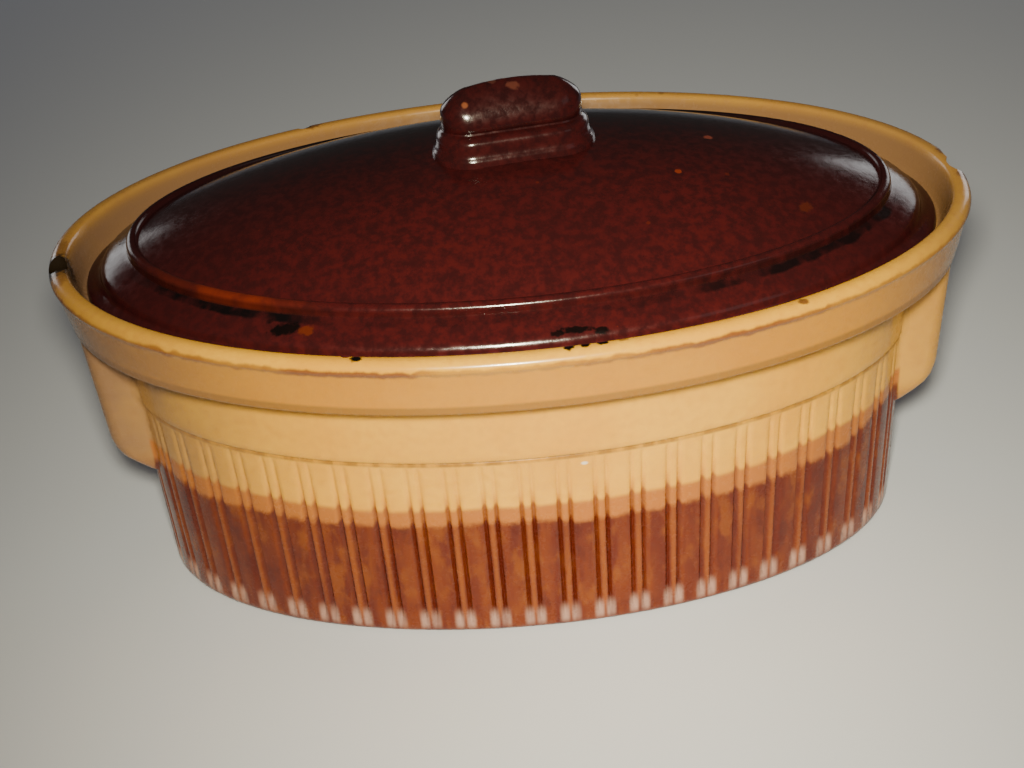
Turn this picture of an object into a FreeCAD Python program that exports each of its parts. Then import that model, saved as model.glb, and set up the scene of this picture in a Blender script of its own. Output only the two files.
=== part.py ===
"""Oval terrine dish with a domed lid, two-tone glazed stoneware.

The frame: +Z up, +X along the dish, the origin on the table under the middle of the foot.
Every horizontal outline of the dish and the lid is an oval, given by its inset from the
rim's outer edge and by its height, so the sizes below read as a section of the ware.
"""

import FreeCAD, Part
import math
import os

import Sketcher

# Driving dimensions, in millimetres and degrees.
SIZES = {
    # Rim, seen from above and from the side.
    "rim_half_length": 125.0,
    "rim_half_width": 78.0,
    "rim_height": 98.0,
    "rim_thickness": 4.9,
    "lip_round": 2.9,
    "lip_undercut": 0.5,
    # Flared collar that carries the gallery of the lid.
    "collar_height": 16.1,
    "collar_inset": 3.6,
    "collar_edge_round": 1.2,
    "collar_overhang": 11.3,
    # Plain band between the collar and the flutes.
    "band_height": 24.4,
    "band_flare": 2.1,
    "band_proud": 0.4,
    # Fluted wall and foot.
    "wall_taper": 4.2,
    "foot_round": 2.2,
    "flute_count": 54,
    "flute_shift": -3.0,
    "groove_spacing": 3.0,
    "groove_width": 1.7,
    "groove_depth": 0.9,
    "groove_runout": 4.8,
    # Inside of the dish.
    "wall_thickness": 5.5,
    "floor_thickness": 6.5,
    "bowl_round": 11.0,
    "gallery_depth": 10.0,
    "gallery_flare": 3.3,
    "ledge_width": 8.0,
    # Solid lugs at the two ends.
    "lug_half_width": 15.0,
    "lug_web": 5.0,
    "lug_web_rise": 5.0,
    "lug_setback": 2.2,
    "lug_taper": 6.5,
    "lug_drop": 47.5,
    "lug_lower_round": 15.0,
    "lug_edge_round": 4.0,
    # Flange, ring and dome of the lid.
    "lid_clearance": 1.0,
    "flange_edge": 1.7,
    "shoulder_radius": 13.1,
    "shoulder_inset": 24.6,
    "shoulder_drop": 2.0,
    "ring_inset": 22.9,
    "ring_half_width": 1.5,
    "ring_rise": 3.9,
    "dome_gap": 0.6,
    "dome_rise": 17.8,
    "dome_spread": 0.7,
    "lid_wall": 5.0,
    # Bar-shaped grip on the lid.
    "grip_length": 42.5,
    "grip_width": 20.0,
    "grip_height": 18.8,
    "grip_sink": 1.5,
    "grip_skirt_spread": 1.2,
    "grip_skirt_height": 2.0,
    "grip_bead_height": 3.4,
    "grip_neck_depth": 3.9,
    "grip_bar_inset": 3.2,
    "grip_bar_height": 4.1,
    "grip_crown_flat": 2.0,
    "grip_crown_bow": 59.0,
    "grip_turn": 7.0,
    "grip_offset": 2.5,
    # Chips and nicks of the rim: the angle round the rim, the radius of the scoop, how far
    # its centre lies outside the rim's edge, and how far above the rim's top.
    "rear_right_chip_angle": 8.2,
    "rear_right_chip_radius": 14.0,
    "rear_right_chip_reach": 11.4,
    "rear_right_chip_rise": -1.0,
    "right_end_chip_angle": 4.7,
    "right_end_chip_radius": 6.0,
    "right_end_chip_reach": 2.0,
    "right_end_chip_rise": -1.0,
    "left_end_chip_angle": 184.0,
    "left_end_chip_radius": 4.4,
    "left_end_chip_reach": -2.4,
    "left_end_chip_rise": 1.6,
    "rear_left_chip_angle": 117.0,
    "rear_left_chip_radius": 2.4,
    "rear_left_chip_reach": -1.4,
    "rear_left_chip_rise": 0.9,
    "rear_nick_angle": 103.0,
    "rear_nick_radius": 1.3,
    "rear_nick_reach": -0.7,
    "rear_nick_rise": -0.7,
    "front_nick_angle": 248.0,
    "front_nick_radius": 1.4,
    "front_nick_reach": -4.9,
    "front_nick_rise": -0.1,
}

doc = FreeCAD.newDocument("terrine_dish")


def fill_sheet():
    """Writes every driving dimension to a cell of its own, under its name."""
    sheet = doc.addObject("Spreadsheet::Sheet", "sizes")
    for row, (alias, value) in enumerate(SIZES.items(), start=1):
        sheet.set(f"A{row}", alias)
        sheet.set(f"B{row}", str(value))
        sheet.setAlias(f"B{row}", alias)
    doc.recompute()
    return sheet


sizes = fill_sheet()

# Heights and insets that several pieces share, worked out from the sheet.
COLLAR_Z = "(sizes.rim_height - sizes.collar_height)"
BAND_Z = f"({COLLAR_Z} - sizes.band_height)"
LIP_Z = "(sizes.rim_height - sizes.lip_round)"
SEAT_Z = "(sizes.rim_height - sizes.gallery_depth)"
BAND_TOP_INSET = "(sizes.collar_inset + sizes.collar_overhang)"
BAND_INSET = f"({BAND_TOP_INSET} + sizes.band_flare)"
FLUTE_INSET = f"({BAND_INSET} + sizes.band_proud)"
BASE_INSET = f"({FLUTE_INSET} + sizes.wall_taper)"
SEAT_INSET = "(sizes.rim_thickness + sizes.gallery_flare)"
LEDGE_INSET = f"({SEAT_INSET} + sizes.ledge_width)"
FLANGE_INSET = f"({SEAT_INSET} + sizes.lid_clearance)"
RING_Z = "(sizes.rim_height + sizes.ring_rise)"
DOME_Z = f"({RING_Z} - sizes.ring_half_width / 2)"
DOME_INSET = "(sizes.ring_inset + sizes.ring_half_width + sizes.dome_gap)"
DOME_TOP_Z = f"({DOME_Z} + sizes.dome_rise)"
DOME_EDGE = "(acos(sizes.dome_spread) / 1 deg)"


def number(expression):
    """The present value of an expression on the sheet's names."""
    return float(sizes.evalExpression(expression))


def bind(item, **expressions):
    """Ties properties of an object to expressions; __ in a name stands for a dot."""
    for name, expression in expressions.items():
        item.setExpression(name.replace("__", "."), expression)
    return item


def oval(name, inset, height):
    """An oval outline that lies `inset` inside the rim's outer edge, at `height`."""
    return bind(
        doc.addObject("Part::Ellipse", name),
        MajorRadius=f"sizes.rim_half_length - ({inset})",
        MinorRadius=f"sizes.rim_half_width - ({inset})",
        Placement__Base__z=height,
    )


def round_ovals(name, inset, height, radius, angles):
    """Ovals along a rounded edge, whose arc has its centre at `inset` and `height`.

    An angle of 0 points out of the ware, 90 up and -90 down.
    """
    return [
        oval(
            f"{name}_{index}",
            f"{inset} - {radius} * cos({angle} deg)",
            f"{height} + {radius} * sin({angle} deg)",
        )
        for index, angle in enumerate(angles)
    ]


def ruled_loft(name, outlines):
    """A solid that runs straight from each outline to the next."""
    solid = doc.addObject("Part::Loft", name)
    solid.Sections = outlines
    solid.Solid = True
    solid.Ruled = True
    return solid


def fuse(name, pieces):
    """One solid made of several that meet."""
    whole = doc.addObject("Part::MultiFuse", name)
    whole.Shapes = pieces
    whole.Refine = False
    return whole


def cut(name, base, tool):
    """The base without the tool."""
    rest = doc.addObject("Part::Cut", name)
    rest.Base = base
    rest.Tool = tool
    rest.Refine = False
    return rest


def origin_plane(body, role):
    """A body's own origin plane, found by its role."""
    return next(item for item in body.Origin.OriginFeatures if item.Role == role)


def arc_between(start, end, radius, turn):
    """The short arc from start to end that turns left or right."""
    chord = end - start
    left = FreeCAD.Vector(-chord.y, chord.x, 0).normalize()
    side = 1 if turn == "left" else -1
    height = math.sqrt(radius**2 - (chord.Length / 2) ** 2)
    centre = (start + end) * 0.5 + left * side * height
    first, last = (start, end) if turn == "left" else (end, start)
    angles = [math.atan2(spot.y - centre.y, spot.x - centre.x) for spot in (first, last)]
    if angles[1] < angles[0]:
        angles[1] += 2 * math.pi
    circle = Part.Circle(centre, FreeCAD.Vector(0, 0, 1), radius)
    return Part.ArcOfCircle(circle, angles[0], angles[1])


def outline_sketch(body, name, plane, corners, bends=None, offset="0"):
    """A closed outline on one of the body's planes, with every corner tied to the sheet.

    `corners` are pairs of expressions. `bends` gives, for the corner that a curved stretch
    starts from, the expression of its radius and whether it turns left or right.
    """
    bends = bends or {}
    sketch = body.newObject("Sketcher::SketchObject", name)
    sketch.AttachmentSupport = [(origin_plane(body, plane), "")]
    sketch.MapMode = "FlatFace"
    sketch.setExpression("AttachmentOffset.Base.z", offset)
    spots = [FreeCAD.Vector(number(across), number(up), 0) for across, up in corners]
    starts = []
    for index, spot in enumerate(spots):
        following = spots[(index + 1) % len(spots)]
        if index in bends:
            radius, turn = bends[index]
            curve = arc_between(spot, following, number(radius), turn)
            starts.append(1 if turn == "left" else 2)
        else:
            curve = Part.LineSegment(spot, following)
            starts.append(1)
        sketch.addGeometry(curve, False)
    for index, (across, up) in enumerate(corners):
        before = (index - 1) % len(corners)
        sketch.addConstraint(
            Sketcher.Constraint("Coincident", before, 3 - starts[before], index, starts[index])
        )
        for kind, axis, place, expression in (
            ("DistanceX", -2, spots[index].x, across),
            ("DistanceY", -1, spots[index].y, up),
        ):
            if abs(place) < 1e-9:
                sketch.addConstraint(
                    Sketcher.Constraint("PointOnObject", index, starts[index], axis)
                )
                continue
            tie = sketch.addConstraint(
                Sketcher.Constraint(kind, -1, 1, index, starts[index], place)
            )
            sketch.setExpression(f"Constraints[{tie}]", expression)
    for index, (radius, _turn) in bends.items():
        tie = sketch.addConstraint(Sketcher.Constraint("Radius", index, number(radius)))
        sketch.setExpression(f"Constraints[{tie}]", radius)
    return sketch


def mirrored(body, name, feature, plane):
    """A mirror image of one feature across one of the body's planes."""
    image = body.newObject("PartDesign::Mirrored", name)
    image.Originals = [feature]
    image.MirrorPlane = (origin_plane(body, plane), [""])
    body.Tip = image
    return image


def flute_angles():
    """Where the corners of the grooves are round the oval, as parameter angles.

    The flutes are evenly spaced along the oval of the base, measured from the middle of the
    front. Each has a slim bead between two grooves. A corner is given with True where it is
    the bottom of a groove.
    """
    long_half = number(f"sizes.rim_half_length - {BASE_INSET}")
    short_half = number(f"sizes.rim_half_width - {BASE_INSET}")
    steps = 7200
    angles = [-math.pi / 2 + 2 * math.pi * step / steps for step in range(steps + 1)]
    travelled = [0.0]
    for start, end in zip(angles, angles[1:]):
        middle = (start + end) / 2
        speed = math.hypot(long_half * math.sin(middle), short_half * math.cos(middle))
        travelled.append(travelled[-1] + speed * (end - start))
    length = travelled[-1]
    spacing = number("sizes.groove_spacing")
    width = number("sizes.groove_width")
    profile = [
        (-(spacing + width) / 2, False),
        (-spacing / 2, True),
        (-(spacing - width) / 2, False),
        ((spacing - width) / 2, False),
        (spacing / 2, True),
        ((spacing + width) / 2, False),
    ]
    count = int(number("sizes.flute_count"))
    corners = []
    for flute in range(count):
        centre = number("sizes.flute_shift") + length * flute / count
        corners += [((centre + along) % length, bottom) for along, bottom in profile]
    corners.sort()
    placed = []
    step = 0
    for along, bottom in corners:
        while travelled[step + 1] < along:
            step += 1
        share = (along - travelled[step]) / (travelled[step + 1] - travelled[step])
        placed.append((angles[step] + share * (angles[step + 1] - angles[step]), bottom))
    return placed


def fluted_outline(name, inset, height, depth, corners):
    """The outline of the fluted wall at one height, with its grooves `depth` deep."""
    level = number(height)
    points = []
    for angle, bottom in corners:
        inwards = number(inset) + (depth if bottom else 0.0)
        long_half = number("sizes.rim_half_length") - inwards
        short_half = number("sizes.rim_half_width") - inwards
        points.append(
            FreeCAD.Vector(long_half * math.cos(angle), short_half * math.sin(angle), level)
        )
    outline = doc.addObject("Part::Feature", name)
    outline.Shape = Part.makePolygon(points + points[:1])
    return outline


def fluted_wall():
    """The tapering wall with its pairs of grooves, which run out at both ends."""
    corners = flute_angles()
    deep = number("sizes.groove_depth")

    def inset_at(height):
        return f"({BASE_INSET} - sizes.wall_taper * ({height}) / {BAND_Z})"

    foot = "sizes.foot_round"
    full = "(sizes.foot_round + sizes.groove_runout)"
    ending = f"({BAND_Z} - sizes.groove_width)"
    outlines = []
    for index, angle in enumerate((-90, -45, 0)):
        inset = f"{inset_at(foot)} + {foot} * (1 - cos({angle} deg))"
        height = f"{foot} * (1 + sin({angle} deg))"
        outlines.append(fluted_outline(f"foot_outline_{index}", inset, height, 0.0, corners))
    for name, height, depth in (
        ("groove_foot_outline", full, deep),
        ("groove_head_outline", ending, deep),
        ("wall_head_outline", BAND_Z, 0.0),
    ):
        outlines.append(fluted_outline(name, inset_at(height), height, depth, corners))
    return ruled_loft("fluted_wall", outlines)


def upper_wall():
    """The plain band, the overhanging collar and the rounded rim, as one solid."""
    edge = "sizes.collar_edge_round"
    outlines = [
        oval("band_foot", BAND_INSET, BAND_Z),
        oval("band_head", BAND_TOP_INSET, f"{COLLAR_Z} - {edge} - sizes.lip_undercut"),
    ]
    outlines += round_ovals(
        "collar_foot", f"(sizes.collar_inset + {edge})", COLLAR_Z, edge, (-90, -45, 0)
    )
    outlines.append(oval("collar_head", "sizes.lip_undercut", f"{LIP_Z} - sizes.lip_undercut"))
    outlines += round_ovals("lip", "sizes.lip_round", LIP_Z, "sizes.lip_round", (0, 30, 60, 90))
    return ruled_loft("upper_wall", outlines)


def bowl_hollow():
    """The inside of the dish, up to the ledge that carries the lid."""
    wall = "sizes.wall_thickness"
    turn = "sizes.bowl_round"
    outlines = round_ovals(
        "bowl_floor",
        f"({BASE_INSET} + {wall} + {turn})",
        f"(sizes.floor_thickness + {turn})",
        turn,
        (-90, -60, -30, 0),
    )
    outlines.append(oval("bowl_flute_head", f"{FLUTE_INSET} + {wall}", BAND_Z))
    outlines.append(oval("bowl_band_head", f"{BAND_TOP_INSET} + {wall}", COLLAR_Z))
    outlines.append(oval("bowl_mouth", LEDGE_INSET, SEAT_Z))
    return ruled_loft("bowl_hollow", outlines)


def gallery_hollow():
    """The flared recess in the rim that the lid sits in."""
    easing = "sizes.lip_undercut"
    outlines = [
        oval("gallery_floor", SEAT_INSET, SEAT_Z),
        oval("gallery_head", "sizes.rim_thickness", f"sizes.rim_height - 2 * {easing}"),
        oval("gallery_edge", f"sizes.rim_thickness - {easing}", "sizes.rim_height"),
        oval("gallery_above", f"sizes.rim_thickness - {easing}", "sizes.rim_height + 1"),
    ]
    return ruled_loft("gallery_hollow", outlines)


def lug():
    """One solid lug: a tapered block with rounded edges and a web on each side."""
    body = doc.addObject("PartDesign::Body", "right_lug")
    head = f"({COLLAR_Z} + sizes.lip_undercut)"
    foot = f"({COLLAR_Z} - sizes.lug_drop)"
    root = f"(sizes.rim_half_length - {BASE_INSET} - sizes.wall_thickness - sizes.bowl_round / 2)"
    face = "(sizes.rim_half_length - sizes.collar_inset - sizes.lug_setback)"
    turn = "sizes.lug_lower_round"
    lean = "(sizes.lug_taper * 1 deg)"
    bend_z = f"({foot} + {turn} * (1 - sin({lean})))"
    bend_x = f"({face} - ({head} - {bend_z}) * tan({lean}))"
    side = outline_sketch(
        body,
        "lug_side",
        "XZ_Plane",
        [
            (root, foot),
            (f"{bend_x} - {turn} * cos({lean})", foot),
            (bend_x, bend_z),
            (face, head),
            (root, head),
        ],
        {1: (turn, "left")},
    )
    block = body.newObject("PartDesign::Pad", "lug_block")
    block.Profile = side
    block.Midplane = True
    block.setExpression("Length", "2 * sizes.lug_half_width")
    doc.recompute()
    half_width = number("sizes.lug_half_width")
    reach = number(f"{bend_x} - {turn} * cos({lean})")
    outer_edges = [
        f"Edge{index}"
        for index, edge in enumerate(block.Shape.Edges, start=1)
        if all(abs(abs(spot.Point.y) - half_width) < 1e-6 for spot in edge.Vertexes)
        and edge.CenterOfMass.x > reach
        and edge.BoundBox.ZLength > 1e-6
        and abs(edge.Vertexes[0].Y - edge.Vertexes[1].Y) < 1e-6
    ]
    rounding = body.newObject("PartDesign::Fillet", "lug_edges")
    rounding.Base = (block, outer_edges)
    rounding.setExpression("Radius", "sizes.lug_edge_round")
    body.Tip = rounding
    wall_long = f"(sizes.rim_half_length - {FLUTE_INSET})"
    wall_short = f"(sizes.rim_half_width - {FLUTE_INSET})"
    outer = "(sizes.lug_half_width + sizes.lug_web)"
    web_x = f"({wall_long} * sqrt(1 - ({outer} / {wall_short})^2) - sizes.groove_depth)"
    plan = outline_sketch(
        body,
        "lug_web_plan",
        "XY_Plane",
        [
            (root, "sizes.lug_half_width - sizes.lug_web"),
            (f"{web_x} + sizes.lug_web", "sizes.lug_half_width - sizes.lug_web"),
            (f"{web_x} + sizes.lug_web", "sizes.lug_half_width"),
            (web_x, outer),
            (root, outer),
        ],
        {2: ("sizes.lug_web", "right")},
        f"{foot} + sizes.lug_web_rise",
    )
    web = body.newObject("PartDesign::Pad", "lug_web")
    web.Profile = plan
    web.setExpression("Length", "sizes.lug_drop - sizes.lug_web_rise")
    body.Tip = web
    mirrored(body, "lug_other_web", web, "XZ_Plane")
    return body


def left_lug(right):
    """The same lug at the other end."""
    image = doc.addObject("Part::Mirroring", "left_lug")
    image.Source = right
    image.Normal = FreeCAD.Vector(1, 0, 0)
    return image


def rim_chips():
    """The scoops of the chips and nicks, each placed round the rim by its own angle."""
    scoops = []
    for name in (alias[: -len("_angle")] for alias in SIZES if alias.endswith("_angle")):
        angle = f"sizes.{name}_angle * 1 deg"
        reach = f"sizes.{name}_reach"
        scoop = bind(
            doc.addObject("Part::Sphere", name),
            Radius=f"sizes.{name}_radius",
            Placement__Base__x=f"(sizes.rim_half_length + {reach}) * cos({angle})",
            Placement__Base__y=f"(sizes.rim_half_width + {reach}) * sin({angle})",
            Placement__Base__z=f"sizes.rim_height + sizes.{name}_rise",
        )
        scoops.append(scoop)
    return fuse("rim_chips", scoops)


def build_dish():
    """The dish: wall, collar, rim and lugs in one piece, hollowed and chipped."""
    right = lug()
    outside = fuse("dish_outside", [fluted_wall(), upper_wall(), right, left_lug(right)])
    hollowed = cut("dish_hollowed", outside, bowl_hollow())
    seated = cut("dish_with_gallery", hollowed, gallery_hollow())
    dish = cut("dish", seated, rim_chips())
    dish.Label = "dish"
    return dish


def lid_flange():
    """The thin seat edge, the convex shoulder above it, and the raised ring inside it."""
    ring = "sizes.ring_half_width"
    outlines = [
        oval("flange_underside", f"{FLANGE_INSET} + sizes.flange_edge / 2", SEAT_Z),
        oval("flange_foot", FLANGE_INSET, f"{SEAT_Z} + sizes.flange_edge / 2"),
        oval("flange_edge_head", f"{FLANGE_INSET} + 0.3", f"{SEAT_Z} + 1.5 * sizes.flange_edge"),
    ]
    outlines += round_ovals(
        "shoulder",
        "sizes.shoulder_inset",
        f"({SEAT_Z} - sizes.shoulder_drop)",
        "sizes.shoulder_radius",
        (25, 37, 49, 61, 72),
    )
    outlines += round_ovals("ring", "sizes.ring_inset", f"({RING_Z} - {ring})", ring, (0, 45, 90))
    outlines.append(oval("ring_inside", f"sizes.ring_inset + {ring}", DOME_Z))
    return ruled_loft("lid_flange", outlines)


def dome_cap(name, inset, height, rise):
    """The upper part of an ellipsoid, whose edge is the oval at `inset` and `height`."""
    upright = f"({rise} / (1 - sin(acos(sizes.dome_spread))))"
    return bind(
        doc.addObject("Part::Ellipsoid", name),
        Radius1=upright,
        Radius2=f"(sizes.rim_half_length - {inset}) / sizes.dome_spread",
        Radius3=f"(sizes.rim_half_width - {inset}) / sizes.dome_spread",
        Angle1=f"{DOME_EDGE} - sizes.dome_gap",
        Placement__Base__z=f"{height} + {rise} - {upright}",
    )


def lid_hollow():
    """The hollow under the lid, which follows the dome at the lid's own thickness."""
    wall = "sizes.lid_wall"
    inset = f"({DOME_INSET} + {wall} / 2)"
    height = f"({DOME_Z} - {wall})"
    mouth = f"({LEDGE_INSET} + sizes.lid_clearance)"
    outlines = [
        oval("hollow_below", mouth, f"{SEAT_Z} - 1"),
        oval("hollow_mouth", mouth, SEAT_Z),
        oval("hollow_side", f"{inset} - {wall} * 0.6", f"{height} - {wall} * 0.7"),
        oval("hollow_head", inset, height),
    ]
    throat = ruled_loft("hollow_throat", outlines)
    return fuse("lid_hollow", [throat, dome_cap("hollow_dome", inset, height, "sizes.dome_rise")])


def grip_section(body, name, offset):
    """Half of the grip's moulded section: skirt, bead, neck, bar and crown."""
    half = "sizes.grip_width / 2"
    top = "sizes.grip_height"
    bead = "sizes.grip_bead_height"
    bead_foot = "sizes.grip_skirt_height"
    neck_z = f"({bead_foot} + {bead} + sizes.grip_skirt_spread)"
    bar_foot = f"({neck_z} + sizes.grip_skirt_spread)"
    bar_head = f"({bar_foot} + sizes.grip_bar_height)"
    bar = f"({half} - sizes.grip_bar_inset)"
    crown = f"({top} - {bar_head})"
    corners = [
        ("0", "-sizes.grip_sink"),
        (f"{half} + sizes.grip_skirt_spread", "-sizes.grip_sink"),
        (f"{half} - sizes.grip_skirt_spread / 2", bead_foot),
        (f"{half} - sizes.grip_skirt_spread", f"{bead_foot} + {bead}"),
        (f"{half} - sizes.grip_neck_depth", neck_z),
        (bar, bar_foot),
        (bar, bar_head),
        ("sizes.grip_crown_flat", top),
        ("0", top),
    ]
    bends = {
        1: ("3 * sizes.grip_skirt_height", "right"),
        2: (f"{bead} * 0.6", "left"),
        6: (f"1.06 * max({crown}; {bar} - sizes.grip_crown_flat)", "left"),
    }
    return outline_sketch(body, name, "YZ_Plane", corners, bends, offset)


def grip():
    """The bar-shaped grip: its section drawn out and turned round each end, its top bowed."""
    body = doc.addObject("PartDesign::Body", "grip")
    half_straight = "(sizes.grip_length - sizes.grip_width) / 2"
    bar = body.newObject("PartDesign::Pad", "grip_bar")
    bar.Profile = grip_section(body, "grip_bar_section", "0")
    bar.Midplane = True
    bar.setExpression("Length", f"2 * ({half_straight})")
    body.Tip = bar
    mirrored(body, "grip_bar_whole", bar, "XZ_Plane")
    end_section = grip_section(body, "grip_end_section", half_straight)
    end = body.newObject("PartDesign::Revolution", "grip_end")
    end.Profile = end_section
    end.ReferenceAxis = (end_section, ["V_Axis"])
    end.Angle = 360
    body.Tip = end
    mirrored(body, "grip_other_end", end, "YZ_Plane")
    past_end = "(sizes.grip_length / 2 + sizes.grip_skirt_spread)"
    bow = "sizes.grip_crown_bow"
    end_z = f"(sizes.grip_height - {bow} + sqrt({bow}^2 - {past_end}^2))"
    above = f"({bow} / 2)"
    arch = outline_sketch(
        body,
        "grip_arch",
        "XZ_Plane",
        [(f"-{past_end}", end_z), (past_end, end_z), (past_end, above), (f"-{past_end}", above)],
        {0: (bow, "right")},
    )
    crown = body.newObject("PartDesign::Pocket", "grip_crown")
    crown.Profile = arch
    crown.Midplane = True
    crown.setExpression("Length", "2 * sizes.grip_width")
    body.Tip = crown
    return bind(
        body,
        Placement__Base__x="sizes.grip_offset",
        Placement__Base__z=DOME_TOP_Z,
        Placement__Rotation__Angle="sizes.grip_turn",
    )


def build_lid():
    """The lid: flange, ring, dome and grip in one piece, hollow underneath."""
    dome = dome_cap("dome", DOME_INSET, DOME_Z, "sizes.dome_rise")
    outside = fuse("lid_outside", [lid_flange(), dome, grip()])
    lid = cut("lid", outside, lid_hollow())
    lid.Label = "lid"
    return lid


def check(parts):
    """Stops if any object failed or any part is empty, broken or in several pieces."""
    for item in doc.Objects:
        if "Invalid" in item.State or "Error" in item.State:
            raise RuntimeError(f"{item.Name} failed: {item.State}")
    for part in parts:
        if part.Shape.isNull() or not part.Shape.isValid():
            raise RuntimeError(f"{part.Label} has no valid shape")
        if len(part.Shape.Solids) != 1:
            raise RuntimeError(f"{part.Label} has {len(part.Shape.Solids)} solids")


def main():
    """Builds the dish and the lid and writes each to a file of its own."""
    parts = [build_dish(), build_lid()]
    doc.recompute()
    check(parts)
    os.makedirs("parts", exist_ok=True)
    for part in parts:
        part.Shape.exportStep(f"parts/{part.Label}.step")
        box = part.Shape.BoundBox
        print(f"{part.Label}: {part.Shape.Volume / 1000:.0f} cm3, "
              f"{box.XLength:.1f} x {box.YLength:.1f} x {box.ZLength:.1f} mm")


main()
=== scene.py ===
"""Looks of an oval stoneware terrine dish with flutes, end lugs and a domed lid.

The frame is in metres: +Z up, +X along the dish, the origin on the table under its middle.
Sizes are written in millimetres, as insets from the rim's outer edge and heights above the
table, and turned into metres where a mesh is made.
"""

import enum
import logging
import math
from dataclasses import dataclass, field

import bmesh
import bpy
import numpy as np
from bpy.types import ID, Material, Mesh, Node, NodeOutputs, NodeSocket, NodeTree, Object
from mathutils import Matrix, Vector


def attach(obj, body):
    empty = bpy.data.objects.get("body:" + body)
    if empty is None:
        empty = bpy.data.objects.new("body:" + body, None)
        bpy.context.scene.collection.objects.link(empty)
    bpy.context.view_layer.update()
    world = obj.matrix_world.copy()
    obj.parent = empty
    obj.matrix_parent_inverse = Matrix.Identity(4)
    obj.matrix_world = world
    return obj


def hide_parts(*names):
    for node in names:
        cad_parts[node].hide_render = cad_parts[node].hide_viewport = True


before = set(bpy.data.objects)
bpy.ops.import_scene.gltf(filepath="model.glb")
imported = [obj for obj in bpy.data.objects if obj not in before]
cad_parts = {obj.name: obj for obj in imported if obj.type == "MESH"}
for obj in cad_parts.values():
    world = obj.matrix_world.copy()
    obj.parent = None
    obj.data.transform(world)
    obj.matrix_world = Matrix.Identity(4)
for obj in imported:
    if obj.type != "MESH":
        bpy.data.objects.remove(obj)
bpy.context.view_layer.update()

MM = 0.001
LOG = logging.getLogger("terrine")


class Slot(enum.Enum):
    """Names of the material slots dish_glaze and lid_glaze; nothing here uses them."""

    DISH = "dish_glaze"
    LID = "lid_glaze"


class Solver(enum.Enum):
    """How two closed meshes are joined or cut."""

    JOIN = "UNION"
    CUT = "DIFFERENCE"


@dataclass(frozen=True)
class SectionPoint:
    """One point of a swept section.

    Attributes:
        inset: How far it lies inside the rim's outer edge, in mm.
        height: Its height above the table, in mm.
        share: The scale of its oval about the axis, 0 at a pole.
        groove: How much of the grooves' depth it takes, 0 to 1.
    """

    inset: float
    height: float
    share: float = 1.0
    groove: float = 0.0


def arc(inset: float, height: float, radius: float, start: float, end: float,
        steps: int) -> list[SectionPoint]:
    """Points of a section along an arc.

    Args:
        inset: Inset of the arc's centre, in mm.
        height: Height of the arc's centre, in mm.
        radius: Radius in mm.
        start: First angle in degrees, 0 pointing out of the ware and 90 up.
        end: Last angle in degrees.
        steps: Number of points.

    Returns:
        The points, both ends among them.
    """
    angles = np.radians(np.linspace(start, end, steps))
    return [SectionPoint(inset - radius * math.cos(a), height + radius * math.sin(a))
            for a in angles]


def trace(*places: tuple[float, float]) -> list[SectionPoint]:
    """Points of a section from pairs of inset and height, in mm."""
    return [SectionPoint(*place) for place in places]


def smooth(value: float, low: float, high: float) -> float:
    """A smooth step from 0 at `low` to 1 at `high`."""
    part = min(max((value - low) / (high - low), 0.0), 1.0)
    return part * part * (3.0 - 2.0 * part)


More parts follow.
